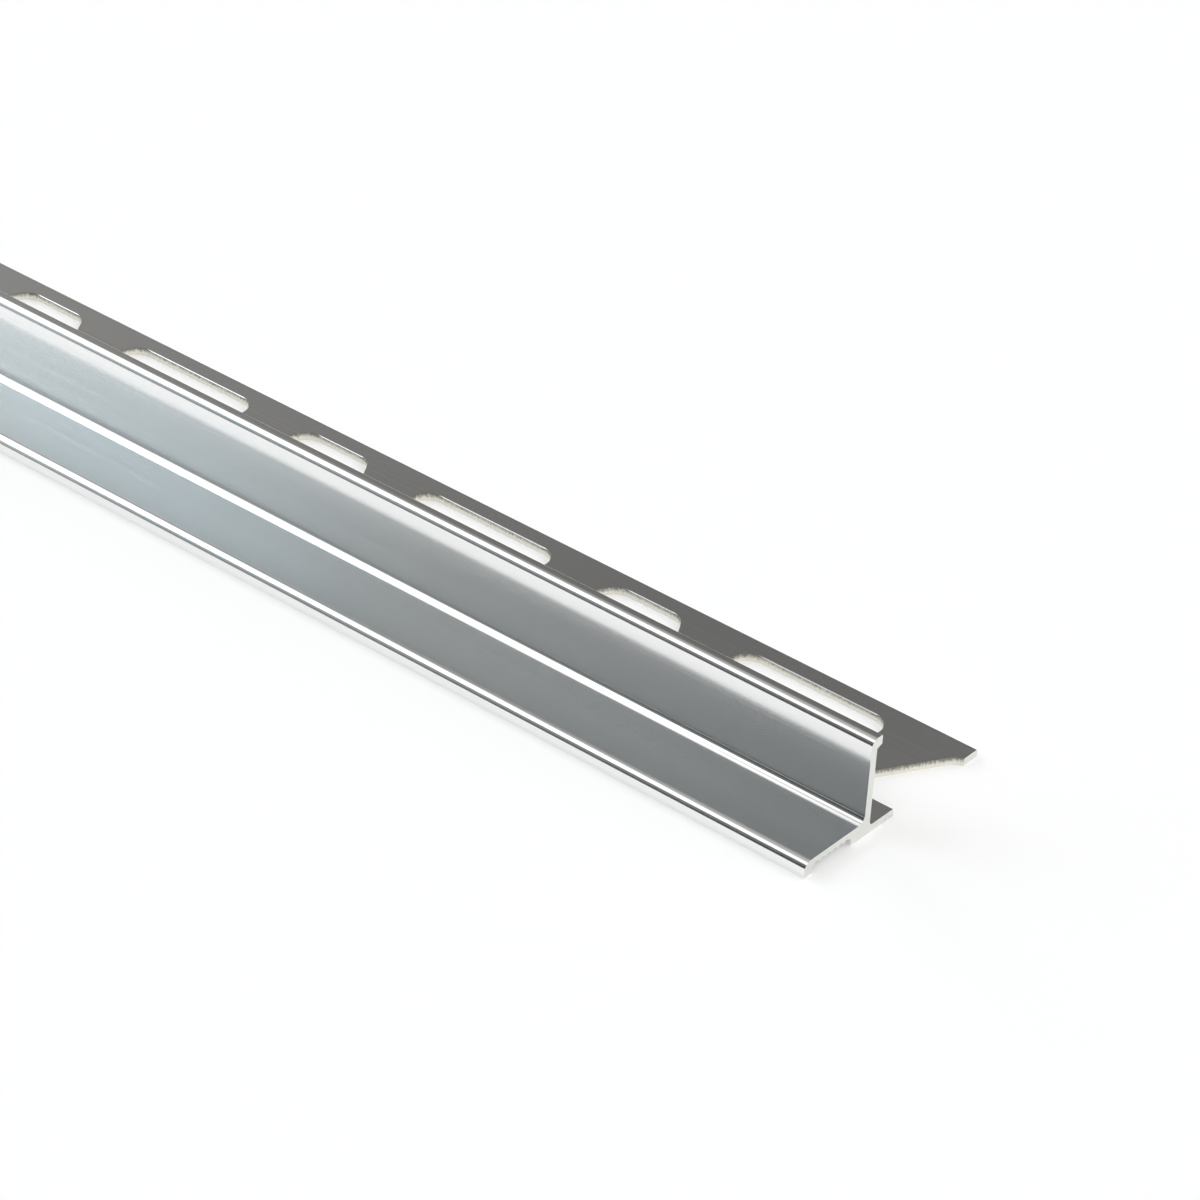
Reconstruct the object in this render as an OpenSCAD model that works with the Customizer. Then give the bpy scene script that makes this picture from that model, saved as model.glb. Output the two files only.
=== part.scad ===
// Internal corner trim: one length of extruded aluminium for the joint between two tiled faces.
// X runs along the stock, Y runs across it from the nose to the back of the anchoring leg,
// and Z is up from the floor. The origin is on the floor, in the middle of the length and width.

/* [Stock] */
// Length of the stock
stock_l = 1000; // [300:1:3000]
// Height from the top of the anchoring leg to the top of the head, for the tile and its adhesive
tile_side = 11.85; // [6:0.05:25]

/* [Anchoring leg] */
// Reach of the perforated anchoring leg, from the back face of the web to its back edge
leg_reach = 20.3; // [17.5:0.1:40]
// Thickness of the anchoring leg
leg_t = 1; // [0.8:0.05:2]
// Radius on the upper edge of the leg's back
leg_edge_r = 0.2; // [0.05:0.05:0.4]

/* [Front flange] */
// Reach of the front flange, from the nose to the front face of the web
flange_reach = 10.65; // [9:0.05:30]
// Thickness of the flange plate
flange_t = 1.05; // [0.7:0.05:2]
// Height of the hollow under the flange plate, above the floor
hollow_h = 0.95; // [0.5:0.05:3]
// Thickness of the nose lip that reaches down to the floor
nose_t = 1.5; // [0.8:0.05:3]
// Radius on the upper edge of the nose
nose_r = 1.1; // [0.2:0.05:1.3]

/* [Web and head] */
// Thickness of the web
web_t = 1.05; // [0.8:0.05:2]
// Radius where the web meets the front flange
web_front_r = 1; // [0.3:0.05:2]
// Radius where the web meets the anchoring leg
web_back_r = 0.6; // [0.2:0.05:2]
// Solid foot under the web, in front of the web's front face
foot_front = 2.3; // [1:0.05:4]
// Solid foot under the web, behind the web's back face
foot_back = 2.3; // [1:0.05:4]
// Overhang of the head behind the web
head_lip = 0.85; // [0.3:0.05:2]
// Height of the lip's back face
head_lip_h = 1.2; // [0.5:0.05:2]
// Height of the slope under the lip
head_slope_h = 0.3; // [0.2:0.05:1.5]
// Radius on the front upper edge of the head
head_front_r = 1.05; // [0.2:0.05:1.1]
// Radius on the back upper edge of the head
head_back_r = 0.2; // [0.05:0.05:0.4]

/* [Grip grooves] */
// Distance between the grooves on the underside
groove_pitch = 1.1; // [0.9:0.05:2]
// Width of a groove
groove_w = 0.7; // [0.3:0.05:0.8]
// Depth of a groove
groove_d = 0.28; // [0.1:0.01:0.4]

/* [Slots] */
// Distance between the middles of neighbouring slots, which point to the back and front by turns
slot_pitch = 25; // [23:0.1:60]
// Longer side of a slot, between its sharp corners
slot_wide = 25; // [20:0.1:28]
// Size of a slot across the leg
slot_depth = 13.4; // [8:0.1:15]
// Slant of a slot's ends, measured from straight across the leg
slot_slant = 30; // [0:1:32]
// Radius of a slot's corners
slot_r = 2.5; // [0.5:0.1:3]
// Whole strip of the leg behind the slots
slot_margin = 2.5; // [1.5:0.1:5]
// How far the middle of the last slot lies beyond the right-hand end of the stock
slot_end = 4.1; // [-10:0.1:10]

/* [Hidden] */
$fn = 48;
// Overlap of shapes that are joined, and how far a cutter stands proud of what it cuts
join = 0.1;
proud = 1;
// Height over all, the top of the flange plate and the back face of the web
stock_h = leg_t + tile_side;
flange_top = hollow_h + flange_t;
web_back = flange_reach + web_t;
// Width over all, from the nose to the back edge of the leg
stock_w = web_back + leg_reach;
// Ends of the solid foot under the web
foot_start = flange_reach - foot_front;
foot_end = web_back + foot_back;
// Front and back edges of the row of slots
slot_back = stock_w - slot_margin;
slot_front = slot_back - slot_depth;
// Slots along the stock, the two that the ends cut through included
slot_count = floor((stock_l + slot_end + slot_wide / 2) / slot_pitch) + 1;
// Shorter side of a slot, between its sharp corners
slot_narrow = slot_wide - 2 * slot_depth * tan(slot_slant);

// What a convex corner at the origin loses to a radius, for a corner that points to -X and +Y
module corner_waste(r) {
    difference() {
        translate([-proud, -r]) square([r + proud, r + proud]);
        translate([r, -r]) circle(r);
        translate([r, -r - proud]) square([proud, r + 2 * proud]);
    }
}

// What a concave corner at the origin gains from a radius, for a corner that opens to -X and +Y
module corner_fill(r) {
    difference() {
        translate([-r, -join]) square([r + join, r + join]);
        translate([-r, r]) circle(r);
    }
}

// Grooves in the underside of a plate between two places across the section
module grooves(from, to, floor_z) {
    count = floor((to - from - groove_w) / groove_pitch);
    first = (from + to - count * groove_pitch) / 2;
    for (i = [0 : count])
        translate([first + i * groove_pitch - groove_w / 2, floor_z - proud])
            square([groove_w, groove_d + proud]);
}

// Outline of the section before its edges are rounded and its grooves are cut:
// nose, hollow, foot and leg along the floor, then up the back of the web, over the head, whose
// lip reaches over the edge of the tile on the leg, and down to the front flange
module section_blank() {
    lip_back = web_back + head_lip;
    lip_bottom = stock_h - head_lip_h;
    polygon([
        [0, 0], [nose_t, 0], [nose_t, hollow_h], [foot_start, hollow_h], [foot_start, 0],
        [stock_w, 0], [stock_w, leg_t], [web_back, leg_t],
        [web_back, lip_bottom - head_slope_h], [lip_back, lip_bottom], [lip_back, stock_h],
        [flange_reach, stock_h], [flange_reach, flange_top], [0, flange_top]
    ]);
}

// Finished section
module section() {
    difference() {
        union() {
            section_blank();
            translate([flange_reach, flange_top]) corner_fill(web_front_r);
            translate([web_back, leg_t]) mirror([1, 0]) corner_fill(web_back_r);
        }
        translate([0, flange_top]) corner_waste(nose_r);
        translate([flange_reach, stock_h]) corner_waste(head_front_r);
        translate([web_back + head_lip, stock_h]) mirror([1, 0]) corner_waste(head_back_r);
        translate([stock_w, leg_t]) mirror([1, 0]) corner_waste(leg_edge_r);
        grooves(nose_t, foot_start, hollow_h);
        grooves(foot_end, stock_w, 0);
    }
}

// Outline of one slot: wide at the back, with slanted ends and round corners
module slot_outline() {
    half_slant = (90 - slot_slant) / 2;
    sharp = slot_r / tan(half_slant);
    blunt = slot_r * tan(half_slant);
    end_run = [sin(slot_slant), cos(slot_slant)];
    for (side = [-1, 1]) {
        wide_x = side * slot_wide / 2;
        narrow_x = side * slot_narrow / 2;
        translate([wide_x - side * sharp, slot_depth / 2 - slot_r]) circle(slot_r);
        translate([narrow_x - side * blunt, slot_r - slot_depth / 2]) circle(slot_r);
    }
    polygon([
        [-slot_wide / 2 + sharp, slot_depth / 2],
        [slot_wide / 2 - sharp, slot_depth / 2],
        [slot_wide / 2 - sharp * end_run[0], slot_depth / 2 - sharp * end_run[1]],
        [slot_narrow / 2 + blunt * end_run[0], blunt * end_run[1] - slot_depth / 2],
        [slot_narrow / 2 - blunt, -slot_depth / 2],
        [-slot_narrow / 2 + blunt, -slot_depth / 2],
        [-slot_narrow / 2 - blunt * end_run[0], blunt * end_run[1] - slot_depth / 2],
        [-slot_wide / 2 + sharp * end_run[0], slot_depth / 2 - sharp * end_run[1]]
    ]);
}

// Row of punched slots; the first, beyond the right-hand end, is wide at the front
module slots() {
    for (i = [0 : slot_count - 1])
        translate([stock_l / 2 + slot_end - i * slot_pitch, (slot_front + slot_back) / 2, -proud])
            mirror([0, i % 2 == 0 ? 1 : 0, 0])
                linear_extrude(leg_t + 2 * proud) slot_outline();
}

module corner_trim() {
    color("silver")
        translate([0, -stock_w / 2, 0])
            difference() {
                rotate([90, 0, 90])
                    translate([0, 0, -stock_l / 2])
                        linear_extrude(stock_l) section();
                slots();
            }
}

corner_trim();
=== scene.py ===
"""Looks of an internal corner trim: a polished aluminium extrusion with a punched anchoring leg."""

import math

import bpy
import bmesh
from bpy.props import FloatProperty, IntProperty, PointerProperty, StringProperty
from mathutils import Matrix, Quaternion, Vector


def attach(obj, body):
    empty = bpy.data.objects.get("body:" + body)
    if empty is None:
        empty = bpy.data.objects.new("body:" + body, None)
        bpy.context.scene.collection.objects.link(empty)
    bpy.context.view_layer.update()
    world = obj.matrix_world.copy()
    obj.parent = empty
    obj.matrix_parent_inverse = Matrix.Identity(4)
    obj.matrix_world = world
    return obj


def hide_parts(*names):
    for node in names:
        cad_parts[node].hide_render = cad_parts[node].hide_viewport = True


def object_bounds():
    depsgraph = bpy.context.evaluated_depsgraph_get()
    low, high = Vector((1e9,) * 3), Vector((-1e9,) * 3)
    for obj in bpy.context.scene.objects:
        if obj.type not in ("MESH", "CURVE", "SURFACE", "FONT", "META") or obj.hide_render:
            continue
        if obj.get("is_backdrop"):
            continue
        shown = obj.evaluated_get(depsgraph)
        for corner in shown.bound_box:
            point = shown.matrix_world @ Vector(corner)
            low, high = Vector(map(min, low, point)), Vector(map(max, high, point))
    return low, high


bl_info = {
    "name": "Internal corner trim",
    "version": (1, 0, 0),
    "blender": (4, 5, 0),
    "location": "3D View > Sidebar > Corner trim",
    "description": "Models one length of polished aluminium corner trim with a punched anchoring leg",
    "category": "Object",
}

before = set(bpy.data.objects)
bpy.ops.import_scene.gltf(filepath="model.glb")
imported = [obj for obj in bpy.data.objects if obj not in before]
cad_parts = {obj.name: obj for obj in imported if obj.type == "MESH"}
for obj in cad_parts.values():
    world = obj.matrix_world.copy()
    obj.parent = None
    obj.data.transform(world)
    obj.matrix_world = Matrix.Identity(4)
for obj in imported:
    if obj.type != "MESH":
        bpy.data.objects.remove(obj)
CAD_LOW, CAD_HIGH = (list(corner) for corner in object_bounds())
NODE = "corner_trim"
BODY = "root"
PIECE = "polished_corner_trim"
MM = 0.001
LENGTH = CAD_HIGH[0] - CAD_LOW[0]
NOSE_Y = CAD_LOW[1]
# Points closer than TINY are made one, and places closer than NEAR count as the same place
TINY = 1e-6
NEAR = 1e-5
# A face looks straight along an axis when this much of its normal does
SQUARE_ON = 0.999
# Length of the punches, which stand proud of the leg above and below, and sides of their round corners
PUNCH_DEPTH = 4 * MM
PUNCH_SIDES = 48
# Faces that meet at less than this angle are shaded as one curve
SMOOTH_ANGLE = math.radians(32)
# Heights of the skin's waves and streaks in metres, and how far a streak's roughness strays either way
WAVE_H = 6e-7
STREAK_H = 6e-8
GLOSS_SPREAD = 0.01
# Places of the punched and the sawn metal in the piece's list, after the skin
PUNCHED, SAWN = 1, 2


def length(name, description, default_mm):
    """A size in a panel, given here in millimetres."""
    return FloatProperty(name=name, description=description, default=default_mm * MM,
                         unit="LENGTH", precision=5)


class TrimSection(bpy.types.PropertyGroup):
    """Sizes of the extruded section."""
    tile_side: length("Tile side", "Height from the top of the leg to the top of the head", 11.85)
    leg_t: length("Leg", "Thickness of the anchoring leg", 1.0)
    leg_reach: length("Leg reach", "From the back face of the web to the back of the leg", 20.3)
    leg_edge_r: length("Leg edge", "Radius on the upper edge of the leg's back", 0.2)
    flange_reach: length("Flange reach", "From the nose to the front face of the web", 10.65)
    flange_t: length("Flange", "Thickness of the front flange", 1.05)
    hollow_h: length("Hollow", "Height of the hollow under the front flange", 0.95)
    nose_t: length("Nose", "Thickness of the lip that reaches down to the floor", 1.5)
    nose_r: length("Nose edge", "Radius on the upper edge of the nose", 1.1)
    web_t: length("Web", "Thickness of the web", 1.05)
    web_front_r: length("Front fillet", "Radius where the web meets the front flange", 1.0)
    web_back_r: length("Back fillet", "Radius where the web meets the anchoring leg", 0.6)
    foot_front: length("Foot, front", "Solid foot in front of the web's front face", 2.3)
    foot_back: length("Foot, back", "Solid foot behind the web's back face", 2.3)
    head_lip: length("Lip", "Overhang of the head behind the web", 0.85)
    head_lip_h: length("Lip height", "Height of the lip's back face", 1.2)
    head_slope_h: length("Lip slope", "Height of the slope under the lip", 0.3)
    head_front_r: length("Head front", "Radius on the front upper edge of the head", 1.05)
    head_back_r: length("Head back", "Radius on the back upper edge of the head", 0.2)
    groove_pitch: length("Groove pitch", "Distance between the grooves on the underside", 1.1)
    groove_w: length("Groove width", "Width of a groove", 0.7)
    groove_d: length("Groove depth", "Depth of a groove", 0.28)
    arc_steps: IntProperty(name="Arc steps", description="Faces in a rounded edge", default=12)


class TrimSlots(bpy.types.PropertyGroup):
    """Sizes of the punched slots."""
    pitch: length("Pitch", "Distance between the middles of neighbouring slots", 25.0)
    wide: length("Wide side", "Longer side of a slot, between its sharp corners", 25.0)
    depth: length("Depth", "Size of a slot across the leg", 13.4)
    slant: FloatProperty(name="Slant", description="Slant of a slot's ends", default=math.radians(30),
                         subtype="ANGLE")
    radius: length("Corner", "Radius of a slot's corners", 2.5)
    margin: length("Margin", "Whole strip of the leg behind the slots", 2.5)
    end: length("Last slot", "How far the middle of the last slot lies past the right-hand end", 4.1)
    roll: length("Roll-over", "Width of the edge that the punch rounded off", 0.12)
    # The sheared band at the top of a punched wall is drawn dark, as painted shade
    shear: length("Sheared band", "Height of the scuffed band at the top of a punched wall", 0.4)
    step: length("Edge step", "Distance between the points of a punched edge", 0.5)


class TrimFinish(bpy.types.PropertyGroup):
    """Colours and gloss."""
    skin: StringProperty(name="Polished skin", description="sRGB hex colour", default="#F4F4F3")
    streak: StringProperty(name="Die streak", description="sRGB hex colour", default="#F0F0EF")
    torn: StringProperty(name="Torn metal", description="sRGB hex colour", default="#ECEAE1")
    # Colour of the painted shade along the top of a punched wall
    painted_shade: StringProperty(name="Painted shade on sheared metal", description="sRGB hex colour", default="#7E7C73")
    sawn: StringProperty(name="Sawn metal", description="sRGB hex colour", default="#E6E7E3")
    skin_gloss: FloatProperty(name="Skin roughness", description="Roughness of the polished skin",
                              default=0.08, subtype="FACTOR")
    haze: FloatProperty(name="Haze", description="Share of the light that the oxide film scatters",
                        default=0.22, subtype="FACTOR")
    haze_gloss: FloatProperty(name="Haze roughness", description="Roughness of the scattered part",
                              default=0.26, subtype="FACTOR")
    streak_w: length("Streak width", "Width of a die streak", 0.22)
    streak_l: length("Streak length", "Length of a die streak", 60.0)
    wave_w: length("Wave width", "Width of a slow wave left by the polishing belt", 3.0)
    wave_l: length("Wave length", "Length of a slow wave", 140.0)
    saw_pitch: length("Saw marks", "Distance between the saw's marks on a cut end", 0.3)


class TrimStage(bpy.types.PropertyGroup):
    """Camera, floor and light."""
    azimuth: FloatProperty(name="Azimuth", description="Camera's turn round the trim",
                           default=math.radians(38.214), subtype="ANGLE")
    elevation: FloatProperty(name="Elevation", description="Camera's height above the horizon",
                             default=math.radians(33.193), subtype="ANGLE")
    roll: FloatProperty(name="Roll", description="Camera's turn about its own axis",
                        default=math.radians(3.446), subtype="ANGLE")
    distance: length("Distance", "From the camera to the floor, along its axis", 525.0)
    aim_from_end: length("Aim from the end", "From the near end to the place that the camera aims at", 51.4)
    aim_from_nose: length("Aim from the nose", "From the nose to the place that the camera aims at", 26.7)
    lens: FloatProperty(name="Lens", description="Focal length for a 36 mm sensor", default=132.94)
    floor: StringProperty(name="Floor", description="sRGB hex colour", default="#F7F7F7")
    floor_size: length("Floor size", "Side of the floor", 12000.0)
    floor_glow: FloatProperty(name="Floor glow", description="White that the floor adds where it is seen",
                              default=0.115, subtype="FACTOR")


def linear(hex_colour):
    """An sRGB hex colour as linear red, green, blue and full alpha."""
    parts = [int(hex_colour[i:i + 2], 16) / 255 for i in (1, 3, 5)]
    return tuple(p / 12.92 if p <= 0.04045 else ((p + 0.055) / 1.055) ** 2.4 for p in parts) + (1.0,)


def only(obj):
    """Makes one object the selected and the active one."""
    bpy.ops.object.select_all(action="DESELECT")
    obj.select_set(True)
    bpy.context.view_layer.objects.active = obj


def select(kind, test):
    """In edit mode, selects the vertices, edges or faces that pass a test, and nothing else."""
    obj = bpy.context.edit_object
    bpy.ops.mesh.select_mode(type={"verts": "VERT", "edges": "EDGE", "faces": "FACE"}[kind])
    bpy.ops.mesh.select_all(action="DESELECT")
    form = bmesh.from_edit_mesh(obj.data)
    count = 0
    for item in getattr(form, kind):
        if test(item):
            item.select_set(True)
            count += 1
    form.select_flush_mode()
    bmesh.update_edit_mesh(obj.data)
    return count


def middle(edge):
    """The middle of an edge."""
    return (edge.verts[0].co + edge.verts[1].co) / 2


def near(a, b):
    """Whether two places along an axis are the same."""
    return abs(a - b) < NEAR


def between(low, value, high):
    """Whether a place lies between two others, or on one of them."""
    return low - TINY < value < high + TINY


def places(section):
    """The section's places across the stock and up, worked out from its sizes."""
    s = {}
    s["nose"] = NOSE_Y
    s["nose_back"] = NOSE_Y + section.nose_t
    s["web_front"] = NOSE_Y + section.flange_reach
    s["web_back"] = s["web_front"] + section.web_t
    s["foot_front"] = s["web_front"] - section.foot_front
    s["foot_back"] = s["web_back"] + section.foot_back
    s["lip_back"] = s["web_back"] + section.head_lip
    s["leg_back"] = s["web_back"] + section.leg_reach
    s["leg_top"] = section.leg_t
    s["hollow_top"] = section.hollow_h
    s["flange_top"] = section.hollow_h + section.flange_t
    s["head_top"] = section.leg_t + section.tile_side
    s["lip_bottom"] = s["head_top"] - section.head_lip_h
    s["slope_bottom"] = s["lip_bottom"] - section.head_slope_h
    return s


def slot_row(s, slots):
    """Front and back edges of the row of slots."""
    back = s["leg_back"] - slots.margin
    return back - slots.depth, back


def cut_line(co, normal):
    """Bisects the whole flat section along a line."""
    bpy.ops.mesh.select_all(action="SELECT")
    bpy.ops.mesh.bisect(plane_co=co, plane_no=normal, threshold=TINY)


def extrude_edges(test, move):
    """Extrudes the open edges of the flat section that pass a test."""
    select("edges", lambda e: e.is_boundary and test(middle(e)))
    bpy.ops.mesh.extrude_edges_move(TRANSFORM_OT_translate={"value": move})


def groove_lines(section, start, end):
    """Both sides of each groove between two places across the stock."""
    count = math.floor((end - start - section.groove_w) / section.groove_pitch + TINY)
    first = (start + end - count * section.groove_pitch) / 2
    half = section.groove_w / 2
    return [(first + i * section.groove_pitch - half, first + i * section.groove_pitch + half)
            for i in range(count + 1)]


def cut_grooves(section, start, end, plate_bottom):
    """Takes the grooves out of the underside of a plate, in the flat section."""
    top = plate_bottom + section.groove_d
    cut_line((0, 0, top), (0, 0, 1))
    lines = groove_lines(section, start, end)
    for low, high in lines:
        cut_line((0, low, 0), (0, 1, 0))
        cut_line((0, high, 0), (0, 1, 0))

    def in_groove(face):
        """Whether a face of the flat section fills a groove."""
        spot = face.calc_center_median()
        return plate_bottom < spot.z < top and any(low < spot.y < high for low, high in lines)

    select("faces", in_groove)
    bpy.ops.mesh.delete(type="FACE")


def round_corner(y, z, radius, steps):
    """Rounds one corner of the flat section."""
    select("verts", lambda v: near(v.co.y, y) and near(v.co.z, z))
    bpy.ops.mesh.bevel(offset=radius, offset_type="OFFSET", segments=steps, profile=0.5,
                       affect="VERTICES", clamp_overlap=False)


class CORNERTRIM_OT_extrusion(bpy.types.Operator):
    """Draws the section flat and pulls it out as long as one pair of slots"""
    bl_idname = "cornertrim.extrusion"
    bl_label = "Extruded profile"

    def execute(self, context):
        section, slots = context.scene.trim_section, context.scene.trim_slots
        s = places(section)
        # The lower part of the foot, under the flange and the web, is what the rest is drawn from
        bpy.ops.object.select_all(action="DESELECT")
        bpy.ops.mesh.primitive_plane_add(
            size=1, rotation=(0, math.pi / 2, 0),
            location=(CAD_HIGH[0], (s["foot_front"] + s["web_back"]) / 2, s["leg_top"] / 2))
        obj = context.object
        obj.name = obj.data.name = PIECE
        obj.scale = (s["leg_top"], s["web_back"] - s["foot_front"], 1)
        bpy.ops.object.transform_apply(location=True, rotation=True, scale=True)
        bpy.ops.object.mode_set(mode="EDIT")
        cut_line((0, 0, s["hollow_top"]), (0, 0, 1))
        cut_line((0, s["web_front"], 0), (0, 1, 0))
        # The anchoring leg, and the foot's upper part under the flange and the web
        extrude_edges(lambda p: near(p.y, s["web_back"]), (0, section.leg_reach, 0))
        extrude_edges(lambda p: near(p.z, s["leg_top"]) and p.y < s["web_back"],
                      (0, 0, s["flange_top"] - s["leg_top"]))
        # The flange plate forward to the nose, and the nose down to the floor
        extrude_edges(lambda p: near(p.y, s["foot_front"]) and p.z > s["hollow_top"],
                      (0, s["nose_back"] - s["foot_front"], 0))
        extrude_edges(lambda p: near(p.y, s["nose_back"]) and p.z > s["hollow_top"],
                      (0, -section.nose_t, 0))
        extrude_edges(lambda p: near(p.z, s["hollow_top"]) and p.y < s["nose_back"],
                      (0, 0, -section.hollow_h))
        # The web, the slope under the lip, and the head
        extrude_edges(lambda p: near(p.z, s["flange_top"]) and p.y > s["web_front"],
                      (0, 0, s["slope_bottom"] - s["flange_top"]))
        extrude_edges(lambda p: near(p.z, s["slope_bottom"]), (0, 0, section.head_slope_h))
        select("verts", lambda v: near(v.co.z, s["lip_bottom"]) and near(v.co.y, s["web_back"]))
        bpy.ops.transform.translate(value=(0, section.head_lip, 0))
        extrude_edges(lambda p: near(p.z, s["lip_bottom"]), (0, 0, section.head_lip_h))
        cut_grooves(section, s["nose_back"], s["foot_front"], s["hollow_top"])
        # The slots' walls show no notches, so the leg's grooves end where the slots begin
        cut_grooves(section, s["foot_back"], slot_row(s, slots)[0], 0)
        bpy.ops.mesh.select_all(action="SELECT")
        bpy.ops.mesh.remove_doubles(threshold=TINY)
        bpy.ops.mesh.dissolve_limited(angle_limit=math.radians(1))
        steps = section.arc_steps
        round_corner(s["nose"], s["flange_top"], section.nose_r, steps)
        round_corner(s["web_front"], s["head_top"], section.head_front_r, steps)
        round_corner(s["lip_back"], s["head_top"], section.head_back_r, steps // 2)
        round_corner(s["leg_back"], s["leg_top"], section.leg_edge_r, steps // 2)
        round_corner(s["web_front"], s["flange_top"], section.web_front_r, steps)
        round_corner(s["web_back"], s["leg_top"], section.web_back_r, steps)
        bpy.ops.mesh.select_all(action="SELECT")
        bpy.ops.mesh.extrude_region_move(TRANSFORM_OT_translate={"value": (-2 * slots.pitch, 0, 0)})
        bpy.ops.mesh.select_all(action="SELECT")
        bpy.ops.mesh.normals_make_consistent(inside=False)
        bpy.ops.object.mode_set(mode="OBJECT")
        faces = len(obj.data.polygons)
        # The rounded corners alone make this many faces
        if faces < 5 * steps:
            raise RuntimeError("the section has lost some of its corners: %d faces" % faces)
        return {"FINISHED"}


def slot_cutter(name, slots, y_low, y_high, first_x, wide_at_back):
    """A punch: four corner posts wrapped in their hull, with points along its edges."""
    half_turn = (math.pi / 2 - slots.slant) / 2
    sharp = slots.radius / math.tan(half_turn)
    blunt = slots.radius * math.tan(half_turn)
    narrow = slots.wide - 2 * slots.depth * math.tan(slots.slant)
    wide_y, narrow_y = (y_high, y_low) if wide_at_back else (y_low, y_high)
    inward = -1 if wide_at_back else 1
    bpy.ops.object.select_all(action="DESELECT")
    post = {"vertices": PUNCH_SIDES, "radius": slots.radius, "depth": PUNCH_DEPTH}
    bpy.ops.mesh.primitive_cylinder_add(
        location=(first_x + slots.wide / 2 - sharp, wide_y + inward * slots.radius, 0), **post)
    cutter = bpy.context.object
    cutter.name = cutter.data.name = name
    bpy.ops.object.transform_apply(location=True, rotation=True, scale=True)
    bpy.ops.object.mode_set(mode="EDIT")
    for x, y in ((first_x - slots.wide / 2 + sharp, wide_y + inward * slots.radius),
                 (first_x + narrow / 2 - blunt, narrow_y - inward * slots.radius),
                 (first_x - narrow / 2 + blunt, narrow_y - inward * slots.radius)):
        bpy.ops.mesh.primitive_cylinder_add(location=(x, y, 0), **post)
    bpy.ops.mesh.select_all(action="SELECT")
    bpy.ops.mesh.convex_hull()
    bpy.ops.mesh.select_all(action="SELECT")
    bpy.ops.mesh.dissolve_limited(angle_limit=math.radians(1))
    # The long edges are halved up to four times, until their points are a step or two apart
    for steps in (8, 4, 2, 1):
        select("edges", lambda e: near(e.verts[0].co.z, e.verts[1].co.z)
               and e.calc_length() > slots.step * steps)
        bpy.ops.mesh.subdivide(number_cuts=1, quadcorner="STRAIGHT_CUT")
    bpy.ops.object.mode_set(mode="OBJECT")
    return cutter


def punch(obj, cutter):
    """Cuts a punch's shape out of the stock."""
    only(obj)
    cut = obj.modifiers.new("Punch", "BOOLEAN")
    cut.operation, cut.solver, cut.object = "DIFFERENCE", "EXACT", cutter
    bpy.ops.object.modifier_apply(modifier=cut.name)
    bpy.data.objects.remove(cutter)


class CORNERTRIM_OT_slots(bpy.types.Operator):
    """Punches a pair of slots, repeats them along the stock, saws it off and rolls the slots' edges over"""
    bl_idname = "cornertrim.slots"
    bl_label = "Punched slots"

    def execute(self, context):
        slots = context.scene.trim_slots
        s = places(context.scene.trim_section)
        y_low, y_high = slot_row(s, slots)
        period = 2 * slots.pitch
        obj = bpy.data.objects[PIECE]
        # One slot is whole, and the two others are cut through by the ends of the pair's length
        for i in range(3):
            place = CAD_HIGH[0] + slots.end - i * slots.pitch
            punch(obj, slot_cutter("punch", slots, y_low, y_high, place, wide_at_back=i % 2 == 1))
        # Open at both ends, the pair is repeated past the stock's length, sawn off and closed
        bpy.ops.object.mode_set(mode="EDIT")
        select("faces", lambda f: abs(f.normal.x) > SQUARE_ON)
        bpy.ops.mesh.delete(type="FACE")
        bpy.ops.object.mode_set(mode="OBJECT")
        row = obj.modifiers.new("Row", "ARRAY")
        row.use_relative_offset, row.use_constant_offset = False, True
        row.constant_offset_displace = (-period, 0, 0)
        row.count = math.ceil(LENGTH / period - TINY)
        row.use_merge_vertices, row.merge_threshold = True, TINY
        bpy.ops.object.modifier_apply(modifier=row.name)
        bpy.ops.object.mode_set(mode="EDIT")
        bpy.ops.mesh.select_all(action="SELECT")
        bpy.ops.mesh.bisect(plane_co=CAD_LOW, plane_no=(1, 0, 0), threshold=TINY, clear_inner=True)
        bpy.ops.mesh.select_all(action="SELECT")
        bpy.ops.mesh.fill_holes(sides=0)
        bpy.ops.mesh.normals_make_consistent(inside=False)

        def rim(edge):
            """Whether a slot's wall meets the top of the leg in this edge."""
            spot = middle(edge)
            level = all(near(v.co.z, s["leg_top"]) for v in edge.verts)
            in_row = between(y_low, spot.y, y_high) and abs(spot.x) < CAD_HIGH[0] - TINY
            return level and in_row and any(abs(f.normal.z) < SQUARE_ON for f in edge.link_faces)

        if not select("edges", rim):
            raise RuntimeError("no slot was punched")
        bpy.ops.mesh.bevel(offset=slots.roll, offset_type="OFFSET", segments=3, profile=0.5,
                           affect="EDGES", clamp_overlap=False, harden_normals=False)
        bpy.ops.object.mode_set(mode="OBJECT")
        return {"FINISHED"}


def add_node(tree, kind, settings=None, **links):
    """Adds a node, sets its own settings and fills its inputs with values or other nodes' outputs. An
    input is named in full, with an underscore for a space, or by its number after an i."""
    node = tree.nodes.new(kind)
    for key, value in (settings or {}).items():
        setattr(node, key, value)
    for key, value in links.items():
        socket = node.inputs[int(key[1:]) if key[1:].isdigit() else key.replace("_", " ")]
        if isinstance(value, bpy.types.NodeSocket):
            tree.links.new(value, socket)
        else:
            socket.default_value = value
    return node


def new_material(name):
    """An empty node material."""
    material = bpy.data.materials.new(name)
    material.use_nodes = True
    material.node_tree.nodes.clear()
    return material, material.node_tree


def grain(tree, size, **settings):
    """Noise on the object's own coordinates, whose grains have the given size along X, Y and Z."""
    place = add_node(tree, "ShaderNodeTexCoord").outputs["Object"]
    scaled = add_node(tree, "ShaderNodeMapping", Vector=place, Scale=[1 / side for side in size])
    return add_node(tree, "ShaderNodeTexNoise", Vector=scaled.outputs[0], Scale=1.0, **settings).outputs[0]


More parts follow.
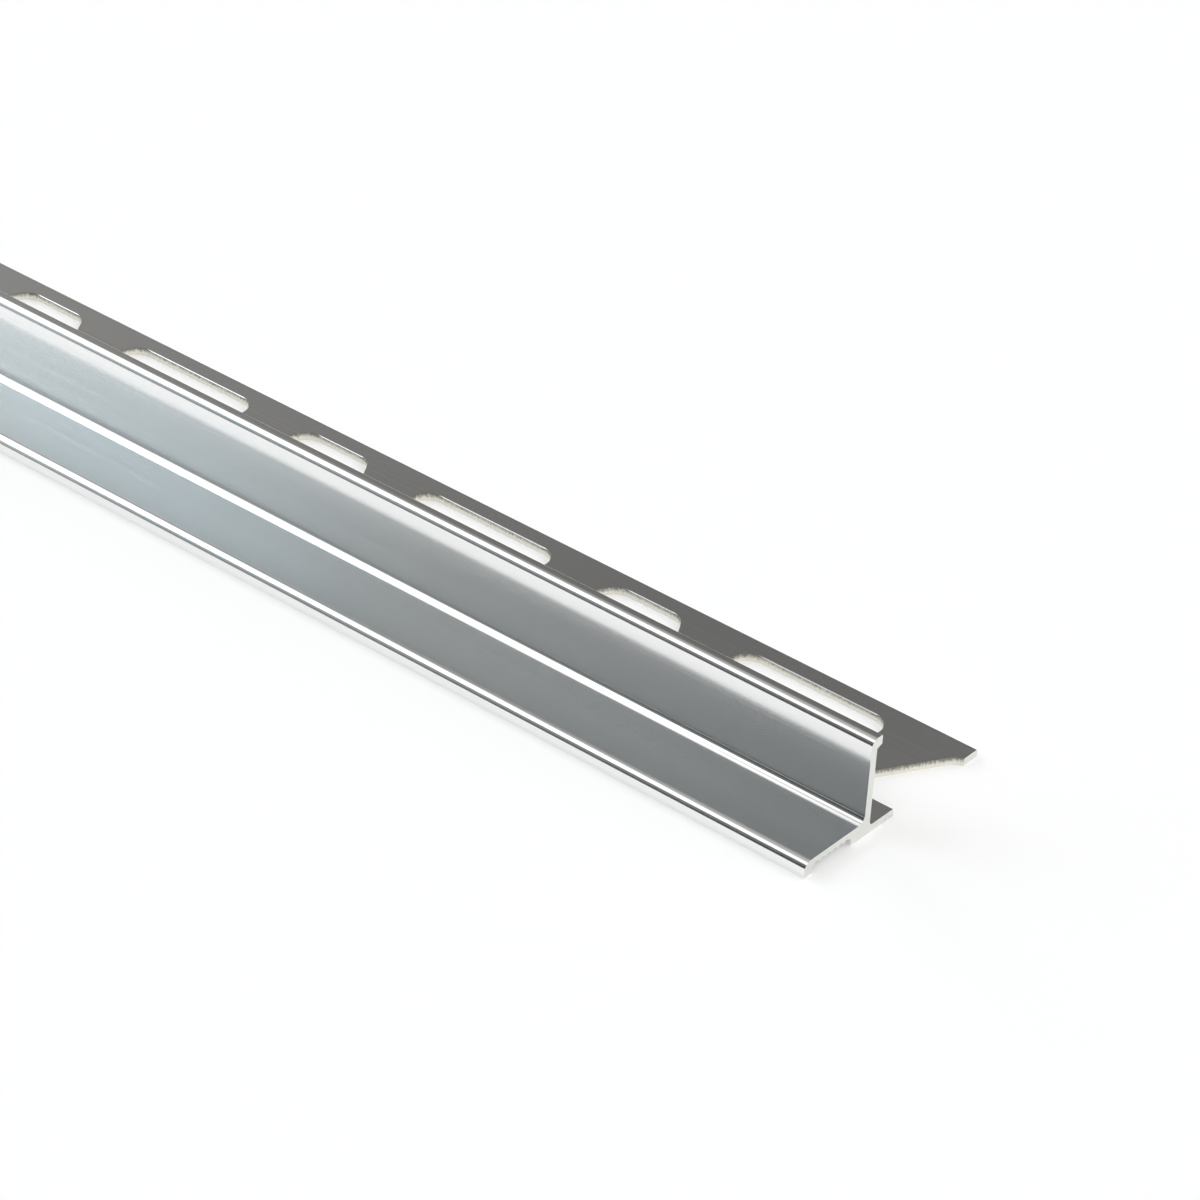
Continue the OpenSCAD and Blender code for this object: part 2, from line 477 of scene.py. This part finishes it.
def polished_aluminium(finish):
    """Polished and clear anodised aluminium: a bright mirror under the faint haze of its oxide film, which
    the die's fine lines and the polishing belt's slow waves draw out along the stock."""
    material, tree = new_material("polished_anodised_aluminium")
    # The die's lines are finer than this, and are drawn as wide as they need to be to show
    streaks = grain(tree, (finish.streak_l, finish.streak_w, finish.streak_w), Detail=2.0)
    waves = grain(tree, (finish.wave_l, finish.wave_w, finish.wave_w), Detail=1.0)
    slow = add_node(tree, "ShaderNodeBump", Strength=1.0, Distance=WAVE_H, Height=waves)
    fine = add_node(tree, "ShaderNodeBump", Strength=1.0, Distance=STREAK_H, Height=streaks,
                    Normal=slow.outputs[0])
    gloss = add_node(tree, "ShaderNodeMapRange", Value=streaks, From_Min=0.3, From_Max=0.7,
                     To_Min=finish.skin_gloss - GLOSS_SPREAD, To_Max=finish.skin_gloss + GLOSS_SPREAD)
    lines = add_node(tree, "ShaderNodeMapRange", Value=streaks, From_Min=0.35, From_Max=0.6)
    colour = add_node(tree, "ShaderNodeMix", {"data_type": "RGBA"}, i0=lines.outputs[0],
                      i6=linear(finish.streak), i7=linear(finish.skin))
    along = add_node(tree, "ShaderNodeCombineXYZ", X=1.0)
    metal = {"Base_Color": colour.outputs[2], "Metallic": 1.0, "Anisotropic": 0.8,
             "Anisotropic_Rotation": 0.25, "Tangent": along.outputs[0], "Normal": fine.outputs[0]}
    mirror = add_node(tree, "ShaderNodeBsdfPrincipled", Roughness=gloss.outputs[0], **metal)
    film = add_node(tree, "ShaderNodeBsdfPrincipled", Roughness=finish.haze_gloss, **metal)
    shader = add_node(tree, "ShaderNodeMixShader", i0=finish.haze, i1=mirror.outputs[0],
                      i2=film.outputs[0])
    add_node(tree, "ShaderNodeOutputMaterial", Surface=shader.outputs[0])
    return material


def punched_aluminium(finish, top, shear):
    """Sheared aluminium: the punch tears the slot's wall off matt and pale, and painted shade darkens the
    top of the wall in fine upright streaks."""
    material, tree = new_material("punched_aluminium")
    tears = grain(tree, (0.17 * MM, 0.17 * MM, 0.7 * MM), Detail=4.0)
    bump = add_node(tree, "ShaderNodeBump", Strength=0.8, Distance=3e-5, Height=tears)
    place = add_node(tree, "ShaderNodeTexCoord").outputs["Object"]
    height = add_node(tree, "ShaderNodeSeparateXYZ", Vector=place).outputs["Z"]
    # The band of painted shade fades out downwards, higher or lower from one quarter of a millimetre to the
    # next
    breaks = grain(tree, (0.25 * MM, 0.25 * MM, 0.5 * MM), Detail=4.0)
    uneven = add_node(tree, "ShaderNodeMapRange", Value=breaks, From_Min=0.35, From_Max=0.65,
                      To_Min=-shear * 0.5, To_Max=shear * 0.3)
    edge = add_node(tree, "ShaderNodeMath", {"operation": "ADD"}, i0=height, i1=uneven.outputs[0])
    # Painted shade: the top of the punched wall takes the dark colour, fading down into the pale torn metal
    painted_shade = add_node(tree, "ShaderNodeMapRange", Value=edge.outputs[0], From_Min=top - shear * 1.6,
                       From_Max=top - shear * 0.2)
    colour = add_node(tree, "ShaderNodeMix", {"data_type": "RGBA"}, i0=painted_shade.outputs[0],
                      i6=linear(finish.torn), i7=linear(finish.painted_shade))
    shader = add_node(tree, "ShaderNodeBsdfPrincipled", Base_Color=colour.outputs[2], Metallic=1.0,
                      Roughness=0.55, Normal=bump.outputs[0])
    add_node(tree, "ShaderNodeOutputMaterial", Surface=shader.outputs[0])
    return material


def sawn_aluminium(finish):
    """Saw-cut aluminium: bare, satin and crossed by the blade's fine marks."""
    material, tree = new_material("sawn_aluminium")
    marks = grain(tree, (finish.saw_pitch, finish.saw_pitch, 5 * MM), Detail=4.0)
    bump = add_node(tree, "ShaderNodeBump", Strength=0.6, Distance=2e-5, Height=marks)
    shader = add_node(tree, "ShaderNodeBsdfPrincipled", Base_Color=linear(finish.sawn), Metallic=1.0,
                      Roughness=0.5, Normal=bump.outputs[0])
    add_node(tree, "ShaderNodeOutputMaterial", Surface=shader.outputs[0])
    return material


class CORNERTRIM_OT_finish(bpy.types.Operator):
    """Gives the skin, the punched edges and the sawn ends their metal and hands the piece to the frame"""
    bl_idname = "cornertrim.finish"
    bl_label = "Surface finish"

    def execute(self, context):
        finish, slots = context.scene.trim_finish, context.scene.trim_slots
        s = places(context.scene.trim_section)
        obj = bpy.data.objects[PIECE]
        y_low, y_high = slot_row(s, slots)
        for material in (polished_aluminium(finish),
                         punched_aluminium(finish, s["leg_top"], slots.shear),
                         sawn_aluminium(finish)):
            obj.data.materials.append(material)
        for face in obj.data.polygons:
            spot, normal = face.center, face.normal
            in_leg = between(y_low, spot.y, y_high) and 0 < spot.z < s["leg_top"]
            if abs(normal.x) > SQUARE_ON and near(abs(spot.x), CAD_HIGH[0]):
                face.material_index = SAWN
            elif in_leg and abs(normal.z) < SQUARE_ON:
                face.material_index = PUNCHED
        only(obj)
        bpy.ops.object.shade_smooth_by_angle(angle=SMOOTH_ANGLE)
        weigh = obj.modifiers.new("Flat faces stay flat", "WEIGHTED_NORMAL")
        weigh.keep_sharp = True
        bpy.ops.object.modifier_apply(modifier=weigh.name)
        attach(obj, BODY)
        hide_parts(NODE)
        return {"FINISHED"}


def aim(azimuth, elevation):
    """A direction in the world: azimuth 0 is the stock's far end, 90 its back."""
    a, e = math.radians(azimuth), math.radians(elevation)
    return (-math.cos(e) * math.cos(a), math.cos(e) * math.sin(a), math.sin(e))


def make_world():
    """A dark room with soft lights, which the camera itself sees as plain white. Each light has its red,
    green and blue, and its soft edges. An edge is a pole, which points across it into the light, then how
    far along the pole the light starts, and how much farther on it is full."""
    wall = [((0, 0, 1), 0.541, 0.05), ((0, -1, 0), 0.0, 0.6)]
    lights = (
        # A large light over the far end
        ((1.72, 1.72, 1.72), [(aim(-14.3, 22.4), 0.735, 0.114), (aim(43.7, 55.5), 0.455, 0.104)]),
        # A low glow in front of the far end, towards which the web and the flange brighten
        ((1.36, 1.47, 1.5), [(aim(-58.1, -35.7), 0.36, 0.05), (aim(38.0, 11.4), -0.181, 0.804)]),
        # A dim wall in front, and its bright part at the far end
        ((0.083, 0.108, 0.117), wall),
        ((1.32, 2.1, 2.6), wall + [((-1, 0, 0), 0.55, 0.09)]),
        # The room behind the far end
        ((0.594, 0.588, 0.567), [((0, 1, 0), -0.2, 0.6), ((-1, 0, 0), 0.2, 1.0)]),
        # A light past the near end. Straight overhead it has a dark gap, so that level faces read as
        # metal from above too
        ((1.48, 1.46, 1.45), [(aim(175, 50), 0.1, 0.8), ((0, 0, -1), -0.98, 0.1)]),
    )
    world = bpy.data.worlds.new("studio")
    bpy.context.scene.world = world
    world.use_nodes = True
    tree = world.node_tree
    tree.nodes.clear()
    direction = add_node(tree, "ShaderNodeTexCoord").outputs["Generated"]
    total = (0, 0, 0)
    for colour, edges in lights:
        level = 1.0
        for pole, start, fade in edges:
            across = add_node(tree, "ShaderNodeVectorMath", {"operation": "DOT_PRODUCT"},
                              i0=direction, i1=pole)
            side = add_node(tree, "ShaderNodeMapRange", {"interpolation_type": "SMOOTHSTEP"},
                            Value=across.outputs["Value"], From_Min=start, From_Max=start + fade)
            level = add_node(tree, "ShaderNodeMath", {"operation": "MULTIPLY"},
                             i0=level, i1=side.outputs[0]).outputs[0]
        light = add_node(tree, "ShaderNodeVectorMath", {"operation": "SCALE"}, i0=colour, Scale=level)
        total = add_node(tree, "ShaderNodeVectorMath", {"operation": "ADD"},
                         i0=total, i1=light.outputs[0]).outputs[0]
    seen = add_node(tree, "ShaderNodeBackground", Color=(1, 1, 1, 1), Strength=1.0)
    lit = add_node(tree, "ShaderNodeBackground", Color=total, Strength=1.0)
    path = add_node(tree, "ShaderNodeLightPath")
    choose = add_node(tree, "ShaderNodeMixShader", i0=path.outputs["Is Camera Ray"], i1=lit.outputs[0],
                      i2=seen.outputs[0])
    add_node(tree, "ShaderNodeOutputWorld", Surface=choose.outputs[0])


def make_floor(stage):
    """A white table top. Where the camera sees it, or sees it in the metal, a little light of its own
    makes up its white."""
    bpy.ops.object.select_all(action="DESELECT")
    bpy.ops.mesh.primitive_plane_add(size=stage.floor_size, location=(0, 0, 0))
    floor = bpy.context.object
    floor.name = "white_floor"
    material, tree = new_material("white_table")
    diffuse = add_node(tree, "ShaderNodeBsdfDiffuse", Color=linear(stage.floor))
    path = add_node(tree, "ShaderNodeLightPath")
    seen = add_node(tree, "ShaderNodeMath", {"operation": "MAXIMUM"}, i0=path.outputs["Is Camera Ray"],
                    i1=path.outputs["Is Glossy Ray"])
    level = add_node(tree, "ShaderNodeMath", {"operation": "MULTIPLY"}, i0=seen.outputs[0],
                     i1=stage.floor_glow)
    glow = add_node(tree, "ShaderNodeEmission", Color=(1, 1, 1, 1), Strength=level.outputs[0])
    both = add_node(tree, "ShaderNodeAddShader", i0=diffuse.outputs[0], i1=glow.outputs[0])
    add_node(tree, "ShaderNodeOutputMaterial", Surface=both.outputs[0])
    floor.data.materials.append(material)
    floor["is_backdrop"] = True


def make_camera(stage):
    """A long lens that looks down on the near end of the stock."""
    a, e = stage.azimuth, stage.elevation
    back = Vector((math.sin(a) * math.cos(e), -math.cos(a) * math.cos(e), math.sin(e)))
    target = Vector((CAD_HIGH[0] - stage.aim_from_end, NOSE_Y + stage.aim_from_nose, 0))
    data = bpy.data.cameras.new("camera")
    data.lens, data.sensor_width = stage.lens, 36.0
    data.clip_start, data.clip_end = 0.01, 50.0
    camera = bpy.data.objects.new("camera", data)
    bpy.context.scene.collection.objects.link(camera)
    camera.location = target + back * stage.distance
    camera.rotation_mode = "QUATERNION"
    camera.rotation_quaternion = (-back).to_track_quat("-Z", "Y") @ Quaternion((0, 0, 1), stage.roll)
    bpy.context.scene.camera = camera


class CORNERTRIM_OT_stage(bpy.types.Operator):
    """Sets the floor, the soft light and the camera"""
    bl_idname = "cornertrim.stage"
    bl_label = "Stage"

    def execute(self, context):
        stage = context.scene.trim_stage
        make_world()
        make_floor(stage)
        make_camera(stage)
        context.scene.view_settings.view_transform = "Standard"
        return {"FINISHED"}


class CORNERTRIM_PT_panel(bpy.types.Panel):
    """Lists the steps and the sizes they use"""
    bl_idname = "CORNERTRIM_PT_panel"
    bl_label = "Corner trim"
    bl_space_type = "VIEW_3D"
    bl_region_type = "UI"
    bl_category = "Corner trim"

    def draw(self, context):
        for step in STEPS:
            self.layout.operator(step.bl_idname)
        for group in (context.scene.trim_section, context.scene.trim_slots,
                      context.scene.trim_finish, context.scene.trim_stage):
            box = self.layout.box()
            for name in group.__annotations__:
                box.prop(group, name)


GROUPS = {"trim_section": TrimSection, "trim_slots": TrimSlots,
          "trim_finish": TrimFinish, "trim_stage": TrimStage}
STEPS = (CORNERTRIM_OT_extrusion, CORNERTRIM_OT_slots, CORNERTRIM_OT_finish, CORNERTRIM_OT_stage)


def register():
    for name, group in GROUPS.items():
        bpy.utils.register_class(group)
        setattr(bpy.types.Scene, name, PointerProperty(type=group))
    for item in STEPS + (CORNERTRIM_PT_panel,):
        bpy.utils.register_class(item)


def unregister():
    for item in reversed(STEPS + (CORNERTRIM_PT_panel,)):
        bpy.utils.unregister_class(item)
    for name, group in GROUPS.items():
        delattr(bpy.types.Scene, name)
        bpy.utils.unregister_class(group)


def main():
    register()
    bpy.ops.cornertrim.extrusion()
    bpy.ops.cornertrim.slots()
    bpy.ops.cornertrim.finish()
    bpy.ops.cornertrim.stage()


if __name__ == "__main__":
    main()
